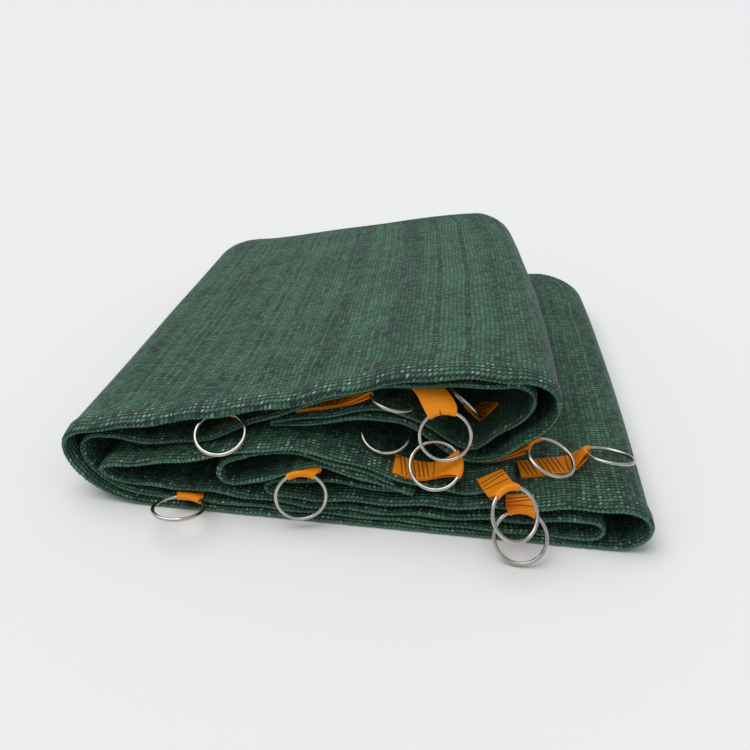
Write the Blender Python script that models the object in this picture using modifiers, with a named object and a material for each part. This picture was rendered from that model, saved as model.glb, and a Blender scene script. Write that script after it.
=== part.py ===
"""Knitted shade cloth, folded into a loose bundle, with steel rings on webbing tabs along its hem.

The cloth is one sheet that runs back and forth in twelve layers. Every layer is a row of LAYERS,
in the order in which the sheet runs, and a round nose joins each layer to the next.
The tables are in millimetres: x to the right, y from the front of the bundle to its back,
z up from the surface it lies on. Blender's own units are metres.
"""

import math
from collections import namedtuple

import bmesh
import bpy
import numpy as np
from mathutils import Matrix

MM = 0.001

# The bundle
DEPTH = 385.0
CLOTH = 2.2
MIDDLE = (-1.4, 175.5)
WAVE = 1.3
WAVE_LENGTH = 47.0
LIP_REACH = 12.0

# A layer runs from x0 to x1. h0 to h8 are the heights of its front edge at nine even stations,
# back0 to back2 those of its back edge at three. draw0 and draw1 say how far its front edge is
# drawn in behind the foremost one, and lip how far that edge droops.
Layer = namedtuple("Layer", "name x0 x1 h0 h1 h2 h3 h4 h5 h6 h7 h8 back0 back1 back2 draw0 draw1 lip steps")
LAYERS = [
    Layer("hump", 110, -158, 34.1, 26.8, 31.8, 42.2, 51.2, 50.8, 42.3, 34.6, 30.4, 33, 43.3, 33, 14, 5, 1.0, 20),
    Layer("hump floor", -146, 157, 13.2, 13.6, 11.6, 8.9, 8.6, 9.3, 10.8, 13.2, 17.5, 14, 10.5, 15, 5, 5, 0, 12),
    Layer("inner floor", 157, -140, 4.4, 4.4, 4.4, 4.4, 4.5, 4.7, 5.0, 5.5, 6.2, 5, 5, 6, 3, 4, 0, 8),
    Layer("inner top", -170, 104, 43.5, 40.5, 44.5, 59.2, 72.6, 85.2, 91.2, 91.6, 92.5, 49, 66, 88, 17, 43, 1.0, 16),
    Layer("inner sling", 102, -52, 59.0, 44.3, 50.6, 64.2, 72.0, 70.4, 66.2, 62.6, 59.0, 52, 56, 55, 40, 29, 0, 18),
    Layer("outer sling", -52, 118, 55.4, 58.9, 62.4, 66.7, 64.4, 51.4, 37.2, 38.0, 57.5, 50, 50, 45, 29, 35, 0, 20),
    Layer("top", 112, -178, 102.0, 104.0, 101.0, 92.5, 82.0, 74.0, 67.0, 60.5, 55.0, 96.5, 77, 56, 38, 12, 4.0, 16),
    Layer("floor", -140, 172, 1.1, 1.1, 1.1, 1.1, 1.1, 1.1, 1.1, 1.1, 1.1, 1.1, 1.1, 1.1, 0, 0, 0, 8),
    Layer("lower top", 176, -46, 28.9, 26.8, 23.6, 21.4, 19.2, 17.8, 16.3, 15.2, 14.4, 32.5, 20.5, 15.5, 6, 6, 1.0, 12),
    Layer("wad floor", -46, 40, 22.4, 23.8, 24.8, 25.2, 25.1, 24.6, 23.8, 22.7, 21.6, 23, 25, 24, 12, 12, 0, 6),
    Layer("wad middle", 40, -76, 26.0, 29.8, 34.4, 38.9, 41.4, 38.5, 31.2, 23.8, 20.0, 30, 34, 24, 8, 8, 1.0, 15),
    Layer("wad top", -76, 30, 39.5, 46.0, 48.5, 48.3, 46.8, 43.9, 40.2, 36.0, 31.8, 35, 39.5, 35.5, 10, 10, 1.0, 10),
]

# The nose after each layer but the last. reach is the x at which it turns, and side names the
# outline that it keeps to through the depth.
Nose = namedtuple("Nose", "after reach side steps")
NOSES = [
    Nose("hump", -173, "left", 6),
    Nose("hump floor", 168, "right", 8),
    Nose("inner floor", -190, "left", 9),
    Nose("inner top", 119, "block", 8),
    Nose("inner sling", -55.5, "inside", 4),
    Nose("outer sling", 134, "block", 8),
    Nose("top", -199.5, "left", 11),
    Nose("floor", 197, "right", 9),
    Nose("lower top", -57, "inside", 5),
    Nose("wad floor", 43.5, "inside", 4),
    Nose("wad middle", -90, "inside", 6),
]

# How a side draws in towards the back of the bundle, and how far the back corner is rounded.
Side = namedtuple("Side", "name taper power corner_x corner_y")
SIDES = {
    "left": Side("left", -1.0, 2.0, 17.0, 34.0),
    "right": Side("right", 15.0, 2.2, 26.0, 40.0),
    "block": Side("block", 26.5, 2.2, 17.0, 32.0),
    "inside": Side("inside", 0.0, 1.0, 0.0, 1.0),
}
HANDLE_STEP = 0.02
HANDLE_TRIES = 6
DEPTH_STATIONS = (0.0, 4.0, 10.0, 24.0, 90.0, 190.0, 290.0, 360.0, 379.0, 385.0)

# Rings of welded round wire, and the webbing that holds each to the hem
RING_OUTSIDE = 36.0
WIRE = 3.0
WEBBING_WIDTH = 18.0
WEBBING = 1.1
SEAT_GAP = 0.6
WIRE_GAP = 0.85
RING_STEPS = 30
WIRE_STEPS = 6
TAB_STRANDS = 4
TAB_TAIL = 4
TAB_SPAN = 3
TAB_TURN = 5

# x, y and z are the ring's centre. tip is the angle between the ring's axis and the vertical,
# and turn is the direction in which the axis leans, from +x towards +y, in degrees.
# grip is the place on the ring that its tab holds: 90 is the highest point, 0 and 180 the sides.
Ring = namedtuple("Ring", "name x y z tip turn grip")
RINGS = [
    Ring("ring_01", -87.0, 15.2, 55.8, 25, -80, 90),
    Ring("ring_02", -109.0, -17.5, 16.0, 14, 84, -90),
    Ring("ring_03", -29.0, -3.0, 23.4, 78, -76, 88),
    Ring("ring_04", 26.3, 44.0, 77.4, 14, -9, 90),
    Ring("ring_05", 22.0, 40.0, 51.4, 30, -80, 65),
    Ring("ring_06", 62.7, 20.0, 65.0, 74, -87, 100),
    Ring("ring_07", 57.5, 15.5, 44.4, 34, -90, 8),
    Ring("ring_08", 133.0, 36.2, 43.4, 20, -24, 85),
    Ring("ring_09", 173.0, 50.0, 38.8, 19, 75, 5),
    Ring("ring_10", 109.0, -17.5, 37.4, 53, -50, 90),
    Ring("ring_11", 114.5, -12.0, 14.8, 52, -92, 90),
    Ring("ring_12", 72.4, 62.0, 66.4, 52, 35, -90),
]

# The tab of each ring lies on a layer, on its upper face for face 1 and its under face for -1.
# x and y are where it leaves the cloth, heading is the way in which it leaves, from +x towards
# +y in degrees, and run is how far it is sewn down behind that point.
Tab = namedtuple("Tab", "name layer face x y heading run")
TABS = [
    Tab("tab_01", "inner top", 1, -89, 55, -82, 16),
    Tab("tab_02", "inner floor", 1, -111, 9, -92, 14),
    Tab("tab_03", "wad middle", -1, -26, 8, -85, 14),
    Tab("tab_04", "inner sling", 1, -14, 47, 4, 26),
    Tab("tab_05", "outer sling", -1, 30, 60, -95, 12),
    Tab("tab_06", "inner top", -1, 44, 46, -50, 14),
    Tab("tab_07", "hump", 1, 42, 22, 0, 13),
    Tab("tab_08", "outer sling", -1, 96, 47, -5, 12),
    Tab("tab_09", "lower top", 1, 144, 48, 8, 30),
    Tab("tab_10", "hump", 1, 98, 17, -65, 9),
    Tab("tab_11", "lower top", 1, 114, 8, -90, 8),
    Tab("tab_12", "inner sling", 1, 87, 76, 215, 8),
]


def catmull(values, place):
    """Reads a smooth curve through even stations. place runs from 0 to 1."""
    last = len(values) - 1
    along = min(max(place, 0.0), 1.0) * last
    first = min(int(along), last - 1)
    part = along - first
    before = values[max(first - 1, 0)]
    start = values[first]
    end = values[first + 1]
    after = values[min(first + 2, last)]
    slope_in = (end - before) / 2
    slope_out = (after - start) / 2
    square = part * part
    cube = square * part
    return (
        (2 * cube - 3 * square + 1) * start
        + (cube - 2 * square + part) * slope_in
        + (3 * square - 2 * cube) * end
        + (cube - square) * slope_out
    )


def bend(start, first, second, end, part):
    """A point on the curve from start to end with the handles first and second."""
    rest = 1 - part
    return (
        rest**3 * start
        + 3 * rest * rest * part * first
        + 3 * rest * part * part * second
        + part**3 * end
    )


def ease(part):
    """Runs from 0 to 1 with a level start and end."""
    return part * part * (3 - 2 * part)


def side_shift(side, depth):
    """How far a side has moved inwards at this depth."""
    rule = SIDES[side]
    share = depth / DEPTH
    shift = rule.taper * share**rule.power
    into_corner = max(0.0, (depth - (DEPTH - rule.corner_y)) / rule.corner_y)
    shift += rule.corner_x * (1 - math.sqrt(max(0.0, 1 - into_corner**2)))
    return -shift if rule.name != "left" else shift


def end_sides(index):
    """The outlines that the two ends of a layer keep to."""
    first = NOSES[index - 1].side if index > 0 else "inside"
    last = NOSES[index].side if index < len(NOSES) else "inside"
    return first, last


def layer_point(index, place, depth_share):
    """A point on the middle of a layer's cloth, place along it and depth_share into the bundle."""
    row = LAYERS[index]
    front = row[3:12]
    back = (row.back0, row.back1, row.back2)
    draw = row.draw0 + (row.draw1 - row.draw0) * place
    along = row.x0 + (row.x1 - row.x0) * place
    if draw > 0:
        draw += WAVE * math.sin(along / WAVE_LENGTH * math.tau + 1.7 * index) * min(1.0, draw / 6)
    depth = draw + (DEPTH - draw) * depth_share
    sides = end_sides(index)
    x0 = row.x0 + side_shift(sides[0], depth)
    x1 = row.x1 + side_shift(sides[1], depth)
    blend = ease(depth_share)
    height = catmull(front, place) * (1 - blend) + catmull(back, place) * blend
    from_edge = (depth - draw) / LIP_REACH
    if from_edge < 1:
        height -= row.lip * (1 - from_edge) ** 2
    return np.array([x0 + (x1 - x0) * place, depth, height])


def nose_points(index, depth_share):
    """The points of the nose after a layer, without its two ends.

    The nose is a curve with a handle at each end, along the layer that it leaves and the one
    that it joins, and the handles are as long as takes it to its reach.
    """
    nose = NOSES[index]
    start = layer_point(index, 1.0, depth_share)
    end = layer_point(index + 1, 0.0, depth_share)
    leaving = start - layer_point(index, 1.0 - HANDLE_STEP, depth_share)
    joining = end - layer_point(index + 1, HANDLE_STEP, depth_share)
    for way in (leaving, joining):
        way[1] = 0.0
        way /= np.linalg.norm(way)
    middle = (start[0] + end[0]) / 2
    reach = nose.reach + side_shift(nose.side, (start[1] + end[1]) / 2)
    handle = abs(reach - middle)
    for _ in range(HANDLE_TRIES):
        curve = [bend(start, start + leaving * handle, end + joining * handle, end, step / 24) for step in range(25)]
        furthest = max(curve, key=lambda point: abs(point[0] - middle))[0]
        handle *= (reach - middle) / (furthest - middle)
    first = start + leaving * handle
    second = end + joining * handle
    return [bend(start, first, second, end, step / nose.steps) for step in range(1, nose.steps)]


def section(depth_share):
    """The whole back-and-forth line of the cloth at one depth."""
    points = []
    for index, row in enumerate(LAYERS):
        for step in range(row.steps + 1):
            points.append(layer_point(index, step / row.steps, depth_share))
        if index < len(NOSES):
            points.extend(nose_points(index, depth_share))
    return points


def to_world(point):
    """Table millimetres to metres about the middle of the bundle."""
    return ((point[0] - MIDDLE[0]) * MM, (point[1] - MIDDLE[1]) * MM, point[2] * MM)


def layer_index(name):
    return [row.name for row in LAYERS].index(name)


def cloth_at(index, x, y):
    """The middle of a layer's cloth over x and y, with the way up from it."""

    def height(at_x, at_y):
        sides = end_sides(index)
        row = LAYERS[index]
        x0 = row.x0 + side_shift(sides[0], at_y)
        x1 = row.x1 + side_shift(sides[1], at_y)
        place = (at_x - x0) / (x1 - x0)
        draw = row.draw0 + (row.draw1 - row.draw0) * place
        share = max(0.0, (at_y - draw) / (DEPTH - draw))
        # The cloth is made of flats between its stations, and a tab lies on those.
        step = min(int(place * row.steps), row.steps - 1)
        across = place * row.steps - step
        stations = [station / DEPTH for station in DEPTH_STATIONS]
        far = next(number for number, station in enumerate(stations) if station > share)
        along = (share - stations[far - 1]) / (stations[far] - stations[far - 1])
        corners = [
            [layer_point(index, (step + right) / row.steps, stations[far - 1 + back])[2] for right in (0, 1)]
            for back in (0, 1)
        ]
        near_line = corners[0][0] * (1 - across) + corners[0][1] * across
        far_line = corners[1][0] * (1 - across) + corners[1][1] * across
        return near_line * (1 - along) + far_line * along

    slope_x = height(x + 1, y) - height(x - 1, y)
    slope_y = height(x, y + 1) - height(x, y - 1)
    up = np.array([-slope_x / 2, -slope_y / 2, 1.0])
    return np.array([x, y, height(x, y)]), up / np.linalg.norm(up)


def ring_frame(ring):
    """The centre of a ring, its level direction and the direction up its slope."""
    tip = math.radians(ring.tip)
    turn = math.radians(ring.turn)
    axis = np.array([math.sin(tip) * math.cos(turn), math.sin(tip) * math.sin(turn), math.cos(tip)])
    level = np.cross((0.0, 0.0, 1.0), axis)
    level /= np.linalg.norm(level)
    upward = np.cross(axis, level)
    return np.array([ring.x, ring.y, ring.z]), level, upward, axis


def span_points(start, end, leaving, arriving):
    """The points of a strand between the cloth and the wire, without its two ends."""
    handle = np.linalg.norm(end - start) / 3
    first = start + leaving * handle
    second = end - arriving * handle
    return [bend(start, first, second, end, step / TAB_SPAN) for step in range(1, TAB_SPAN)]


def tab_rows(tab, ring):
    """The rows of a tab, one for each strand of its width: out, round the wire and back."""
    index = layer_index(tab.layer)
    centre, level, upward, _ = ring_frame(ring)
    radius = (RING_OUTSIDE - WIRE) / 2
    loop = WIRE / 2 + WIRE_GAP + WEBBING / 2
    heading = math.radians(tab.heading)
    out = np.array([math.cos(heading), math.sin(heading)])
    across = np.array([-out[1], out[0]])
    near = CLOTH / 2 + SEAT_GAP + WEBBING / 2
    far = near + WEBBING + SEAT_GAP
    middle = math.radians(ring.grip)
    grip_way = -math.sin(middle) * level + math.cos(middle) * upward
    side = 1.0 if np.dot(grip_way[:2], across) > 0 else -1.0
    rows = []
    for strand in range(TAB_STRANDS):
        share = strand / (TAB_STRANDS - 1) - 0.5
        angle = middle + side * share * WEBBING_WIDTH / radius
        hold = centre + radius * (math.cos(angle) * level + math.sin(angle) * upward)
        wire_way = -math.sin(angle) * level + math.cos(angle) * upward
        tail = []
        for step in range(TAB_TAIL):
            back = tab.run * (1 - step / (TAB_TAIL - 1))
            spot = np.array([tab.x, tab.y]) + across * share * WEBBING_WIDTH - out * back
            tail.append(cloth_at(index, spot[0], spot[1]))
        lower = [point + up * tab.face * near for point, up in tail]
        upper = [point + up * tab.face * far for point, up in tail]
        forward = hold - (lower[-1] + upper[-1]) / 2
        forward -= wire_way * np.dot(forward, wire_way)
        forward /= np.linalg.norm(forward)
        outward = np.cross(wire_way, forward)
        if np.dot(outward, tail[-1][1]) * tab.face < 0:
            outward = -outward
        turned = []
        for step in range(TAB_TURN + 1):
            turn = math.pi * (step / TAB_TURN - 0.5)
            turned.append(hold + loop * (math.cos(turn) * forward + math.sin(turn) * outward))
        leave = lower[-1] - lower[-2]
        leave /= np.linalg.norm(leave)
        row = lower
        row.extend(span_points(lower[-1], turned[0], leave, forward))
        row.extend(turned)
        row.extend(reversed(span_points(upper[-1], turned[-1], leave, forward)))
        row.extend(reversed(upper))
        rows.append(row)
    return rows


def material(name, colour, roughness, metallic=0.0):
    made = bpy.data.materials.new(name)
    made.use_nodes = True
    shader = made.node_tree.nodes["Principled BSDF"]
    shader.inputs["Base Color"].default_value = (*colour, 1.0)
    shader.inputs["Roughness"].default_value = roughness
    shader.inputs["Metallic"].default_value = metallic
    return made


def sheet_object(name, rows, thickness, finish, collection):
    """A grid of points as an open surface, with Solidify to give it its thickness."""
    mesh = bpy.data.meshes.new(name)
    build = bmesh.new()
    grid = [[build.verts.new(to_world(point)) for point in row] for row in rows]
    for near, far in zip(grid, grid[1:]):
        for column in range(len(near) - 1):
            build.faces.new((near[column], near[column + 1], far[column + 1], far[column]))
    bmesh.ops.recalc_face_normals(build, faces=build.faces)
    build.to_mesh(mesh)
    build.free()
    mesh.shade_smooth()
    mesh.set_sharp_from_angle(angle=math.radians(50))
    made = bpy.data.objects.new(name, mesh)
    made.data.materials.append(finish)
    collection.objects.link(made)
    solid = made.modifiers.new("Thickness", "SOLIDIFY")
    solid.thickness = thickness * MM
    solid.offset = 0.0
    solid.use_even_offset = True
    solid.use_quality_normals = True
    return made


def make_cloth(finish, collection):
    rows = [section(station / DEPTH) for station in DEPTH_STATIONS]
    return sheet_object("cloth", rows, CLOTH, finish, collection)


def make_ring(ring, finish, collection):
    """A welded ring, from Blender's torus, laid with its own tip and turn."""
    centre, level, upward, axis = ring_frame(ring)
    bpy.ops.mesh.primitive_torus_add(
        major_segments=RING_STEPS,
        minor_segments=WIRE_STEPS,
        major_radius=(RING_OUTSIDE - WIRE) / 2 * MM,
        minor_radius=WIRE / 2 * MM,
        location=to_world(centre),
    )
    made = bpy.context.object
    made.name = ring.name
    made.data.name = ring.name
    made.rotation_euler = Matrix((level, upward, axis)).transposed().to_euler()
    made.data.shade_smooth()
    made.data.materials.append(finish)
    for owner in list(made.users_collection):
        owner.objects.unlink(made)
    collection.objects.link(made)
    return made


def main():
    for old in list(bpy.data.objects):
        bpy.data.objects.remove(old, do_unlink=True)
    collection = bpy.data.collections.new("shade_cloth")
    bpy.context.scene.collection.children.link(collection)
    net = material("green_net", (0.03, 0.09, 0.06), 0.75)
    steel = material("ring_steel", (0.62, 0.61, 0.58), 0.3, 1.0)
    orange = material("orange_webbing", (0.75, 0.22, 0.02), 0.7)
    make_cloth(net, collection)
    for ring, tab in zip(RINGS, TABS):
        make_ring(ring, steel, collection)
        sheet_object(tab.name, tab_rows(tab, ring), WEBBING, orange, collection)


main()
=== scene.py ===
"""Folded shade cloth with hanging rings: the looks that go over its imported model.

A knitted polyethylene net lies folded back and forth in a loose bundle. Steel rings hang on short
webbing tabs along its front edge. Tables of folds, rings and tabs are in millimetres, x to the
right, y from the front edge to the back and z up from the surface. Everything that is built is in
metres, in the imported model's own frame.
"""

import logging
import math
from dataclasses import dataclass, field
from typing import Iterable, NamedTuple, Optional, Sequence

import bmesh
import bpy
import numpy as np
from bpy.types import Material, Mesh, Node, NodeSocket, NodeTree, Object
from mathutils import Matrix, Vector


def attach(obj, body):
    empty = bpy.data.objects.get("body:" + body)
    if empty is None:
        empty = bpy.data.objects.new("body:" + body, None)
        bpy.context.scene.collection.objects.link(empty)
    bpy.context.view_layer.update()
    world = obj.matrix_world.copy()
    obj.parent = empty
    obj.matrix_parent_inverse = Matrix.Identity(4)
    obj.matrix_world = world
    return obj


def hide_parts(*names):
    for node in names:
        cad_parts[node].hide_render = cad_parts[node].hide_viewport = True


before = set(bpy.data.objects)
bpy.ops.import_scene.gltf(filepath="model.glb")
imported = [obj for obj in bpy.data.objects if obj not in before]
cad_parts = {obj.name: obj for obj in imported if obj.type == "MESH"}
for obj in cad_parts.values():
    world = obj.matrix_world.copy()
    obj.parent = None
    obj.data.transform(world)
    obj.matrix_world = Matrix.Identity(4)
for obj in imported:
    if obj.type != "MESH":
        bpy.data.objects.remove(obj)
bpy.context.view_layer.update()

log = logging.getLogger("shade_cloth")

MM = 0.001
MIDDLE = (-1.4, 175.5)


class Layer(NamedTuple):
    """A layer of the cloth from x0 to x1, with its heights at nine even front stations.

    back has its heights at three back stations, draw how far its front edge is drawn in at its
    two ends, and lip how far that edge droops.
    """

    name: str
    x0: float
    x1: float
    front: tuple[float, ...]
    back: tuple[float, float, float]
    draw: tuple[float, float]
    lip: float


class Nose(NamedTuple):
    """The round turn after a layer: the x that it reaches and the outline that it keeps to."""

    after: str
    reach: float
    side: str


class Side(NamedTuple):
    """How an outline draws in towards the back, and how far its back corner is rounded."""

    taper: float
    power: float
    corner_x: float
    corner_y: float


class Crease(NamedTuple):
    """A soft trough (or a ridge, with a negative depth) on one layer."""

    layer: str
    x: float
    y: float
    heading: float
    length: float
    width: float
    depth: float


class RingPlace(NamedTuple):
    """A ring's centre, the tip and turn of its axis, and the angle at which its tab holds it."""

    name: str
    x: float
    y: float
    z: float
    tip: float
    turn: float
    grip: float
    weld: float


class TabPlace(NamedTuple):
    """A tab's layer and face, where it leaves the cloth, its heading and its length on the cloth.

    sewn is how far its rows of thread reach, and ridge where across it a lengthwise seam lies.
    """

    name: str
    layer: str
    face: int
    x: float
    y: float
    heading: float
    run: float
    sewn: float
    ridge: float


LAYERS = (
    Layer(
        "hump", 110, -158, (34.1, 26.8, 31.8, 42.2, 51.2, 50.8, 42.3, 34.6, 30.4),
        (33, 43.3, 33), (14, 5), 1.0,
    ),
    Layer(
        "hump floor", -146, 157, (13.2, 13.6, 11.6, 8.9, 8.6, 9.3, 10.8, 13.2, 17.5),
        (14, 10.5, 15), (5, 5), 0,
    ),
    Layer(
        "inner floor", 157, -140, (4.4, 4.4, 4.4, 4.4, 4.5, 4.7, 5.0, 5.5, 6.2),
        (5, 5, 6), (3, 4), 0,
    ),
    Layer(
        "inner top", -170, 104, (43.5, 40.5, 44.5, 59.2, 72.6, 85.2, 91.2, 91.6, 92.5),
        (49, 66, 88), (17, 43), 1.0,
    ),
    Layer(
        "inner sling", 102, -52, (59.0, 44.3, 50.6, 64.2, 72.0, 70.4, 66.2, 62.6, 59.0),
        (52, 56, 55), (40, 29), 0,
    ),
    Layer(
        "outer sling", -52, 118, (55.4, 58.9, 62.4, 66.7, 64.4, 51.4, 37.2, 38.0, 57.5),
        (50, 50, 45), (29, 35), 0,
    ),
    Layer(
        "top", 112, -178, (102.0, 104.0, 101.0, 92.5, 82.0, 74.0, 67.0, 60.5, 55.0),
        (96.5, 77, 56), (38, 12), 4.0,
    ),
    Layer(
        "floor", -140, 172, (1.1, 1.1, 1.1, 1.1, 1.1, 1.1, 1.1, 1.1, 1.1),
        (1.1, 1.1, 1.1), (0, 0), 0,
    ),
    Layer(
        "lower top", 176, -46, (28.9, 26.8, 23.6, 21.4, 19.2, 17.8, 16.3, 15.2, 14.4),
        (32.5, 20.5, 15.5), (6, 6), 1.0,
    ),
    Layer(
        "wad floor", -46, 40, (22.4, 23.8, 24.8, 25.2, 25.1, 24.6, 23.8, 22.7, 21.6),
        (23, 25, 24), (12, 12), 0,
    ),
    Layer(
        "wad middle", 40, -76, (26.0, 29.8, 34.4, 38.9, 41.4, 38.5, 31.2, 23.8, 20.0),
        (30, 34, 24), (8, 8), 1.0,
    ),
    Layer(
        "wad top", -76, 30, (39.5, 46.0, 48.5, 48.3, 46.8, 43.9, 40.2, 36.0, 31.8),
        (35, 39.5, 35.5), (10, 10), 1.0,
    ),
)

NOSES = (
    Nose("hump", -173, "left"),
    Nose("hump floor", 168, "right"),
    Nose("inner floor", -190, "left"),
    Nose("inner top", 119, "block"),
    Nose("inner sling", -55.5, "inside"),
    Nose("outer sling", 134, "block"),
    Nose("top", -199.5, "left"),
    Nose("floor", 197, "right"),
    Nose("lower top", -57, "inside"),
    Nose("wad floor", 43.5, "inside"),
    Nose("wad middle", -90, "inside"),
)

SIDES = {
    "left": Side(-1.0, 2.0, 17.0, 34.0),
    "right": Side(15.0, 2.2, 26.0, 40.0),
    "block": Side(26.5, 2.2, 17.0, 32.0),
    "inside": Side(0.0, 1.0, 0.0, 1.0),
}

CREASES = (
    Crease("top", 58, 250, 62, 120, 13, 2.4),
    Crease("top", 82, 262, 70, 90, 9, -1.2),
    Crease("top", 30, 330, 80, 90, 16, 1.8),
    Crease("top", -70, 120, 12, 130, 14, 1.6),
    Crease("top", -20, 60, 8, 150, 12, 1.5),
    Crease("top", -110, 240, 35, 120, 18, 1.6),
    Crease("top", 90, 110, 85, 120, 10, 1.8),
    Crease("lower top", 150, 230, 84, 160, 10, 1.5),
    Crease("lower top", 130, 90, 60, 60, 8, 1.2),
    Crease("hump", -60, 22, 8, 90, 5, 0.7),
    Crease("hump", -120, 20, -6, 60, 4, 0.6),
    Crease("wad top", -50, 20, 14, 60, 4, 0.7),
    Crease("hump", 70, 24, 18, 60, 5, 0.8),
)

RINGS = (
    RingPlace("ring_01", -87.0, 15.2, 55.8, 25, -80, 90, 330),
    RingPlace("ring_02", -109.0, -17.5, 16.0, 14, 84, -90, 120),
    RingPlace("ring_03", -29.0, -3.0, 23.4, 78, -76, 88, 40),
    RingPlace("ring_04", 26.3, 44.0, 77.4, 14, -9, 90, 200),
    RingPlace("ring_05", 22.0, 40.0, 51.4, 30, -80, 65, 250),
    RingPlace("ring_06", 62.7, 20.0, 65.0, 74, -87, 100, 318),
    RingPlace("ring_07", 57.5, 15.5, 44.4, 34, -90, 8, 160),
    RingPlace("ring_08", 133.0, 36.2, 43.4, 20, -24, 85, 300),
    RingPlace("ring_09", 173.0, 50.0, 38.8, 19, 75, 5, 190),
    RingPlace("ring_10", 109.0, -17.5, 37.4, 53, -50, 90, 322),
    RingPlace("ring_11", 114.5, -12.0, 14.8, 52, -92, 90, 10),
    RingPlace("ring_12", 72.4, 62.0, 66.4, 52, 35, -90, 90),
)

TABS = (
    TabPlace("tab_01", "inner top", 1, -89, 55, -82, 16, 16, 0),
    TabPlace("tab_02", "inner floor", 1, -111, 9, -92, 14, 14, 0),
    TabPlace("tab_03", "wad middle", -1, -26, 8, -85, 14, 14, 0),
    TabPlace("tab_04", "inner sling", 1, -14, 47, 4, 26, 26, 0),
    TabPlace("tab_05", "outer sling", -1, 30, 60, -95, 12, 12, 0),
    TabPlace("tab_06", "inner top", -1, 44, 46, -50, 14, 14, 0.4),
    TabPlace("tab_07", "hump", 1, 42, 22, 0, 13, 25, 0),
    TabPlace("tab_08", "outer sling", -1, 96, 47, -5, 12, 12, 0),
    TabPlace("tab_09", "lower top", 1, 144, 48, 8, 30, 30, 0),
    TabPlace("tab_10", "hump", 1, 98, 17, -65, 9, 9, 0),
    TabPlace("tab_11", "lower top", 1, 114, 8, -90, 8, 8, 0),
    TabPlace("tab_12", "inner sling", 1, 87, 76, 215, 8, 8, 0),
)


def to_world(point: Sequence[float]) -> tuple[float, float, float]:
    """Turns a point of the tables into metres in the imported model's frame."""
    return ((point[0] - MIDDLE[0]) * MM, (point[1] - MIDDLE[1]) * MM, point[2] * MM)


def bend(
    start: np.ndarray, first: np.ndarray, second: np.ndarray, end: np.ndarray, part: float | np.ndarray
) -> np.ndarray:
    """Reads a point on the curve from start to end with the handles first and second."""
    rest = 1 - part
    outer = rest**3 * start + part**3 * end
    return outer + 3 * rest * part * (rest * first + part * second)


def unit(vector: np.ndarray) -> np.ndarray:
    """Scales a vector to length 1."""
    return vector / np.linalg.norm(vector)


def distances(steps: np.ndarray) -> np.ndarray:
    """How far along each point lies, from the lengths of the steps between them."""
    return np.concatenate([[0.0], np.cumsum(steps)])


def catmull(values: Sequence[float], place: float) -> float:
    """Reads a smooth curve through values at even stations, at a place from 0 to 1."""
    last = len(values) - 1
    along = min(max(place, 0.0), 1.0) * last
    first = min(int(along), last - 1)
    part = along - first
    before = values[max(first - 1, 0)]
    start, end = values[first], values[first + 1]
    after = values[min(first + 2, last)]
    slope_in, slope_out = (end - before) / 2, (after - start) / 2
    square, cube = part * part, part**3
    return (
        (2 * cube - 3 * square + 1) * start
        + (cube - 2 * square + part) * slope_in
        + (3 * square - 2 * cube) * end
        + (cube - square) * slope_out
    )


def ring_frame(ring: RingPlace) -> tuple[np.ndarray, np.ndarray, np.ndarray, np.ndarray]:
    """Works out a ring's centre, its level direction, the direction up its slope and its axis."""
    tip, turn = math.radians(ring.tip), math.radians(ring.turn)
    axis = np.array([math.sin(tip) * math.cos(turn), math.sin(tip) * math.sin(turn), math.cos(tip)])
    level = unit(np.cross((0.0, 0.0, 1.0), axis))
    return np.array([ring.x, ring.y, ring.z]), level, np.cross(axis, level), axis


def add_node(
    tree: NodeTree,
    kind: str,
    settings: Optional[dict] = None,
    values: Optional[dict] = None,
    links: Optional[dict] = None,
) -> Node:
    """Adds a node with its own settings, and the values and links that its sockets take.

    Values and links go by the socket's name or number, and a link is another node's output.
    """
    node = tree.nodes.new(kind)
    for name, value in (settings or {}).items():
        setattr(node, name, value)
    for name, value in (values or {}).items():
        node.inputs[name].default_value = value
    for name, source in (links or {}).items():
        tree.links.new(source, node.inputs[name])
    return node


def linear(colour: str) -> tuple[float, float, float, float]:
    """Turns an sRGB hex value such as "#446051" into linear red, green, blue and alpha."""
    parts = [int(colour[start : start + 2], 16) / 255 for start in (1, 3, 5)]
    red, green, blue = (
        part / 12.92 if part <= 0.04045 else ((part + 0.055) / 1.055) ** 2.4 for part in parts
    )
    return (red, green, blue, 1.0)


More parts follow.
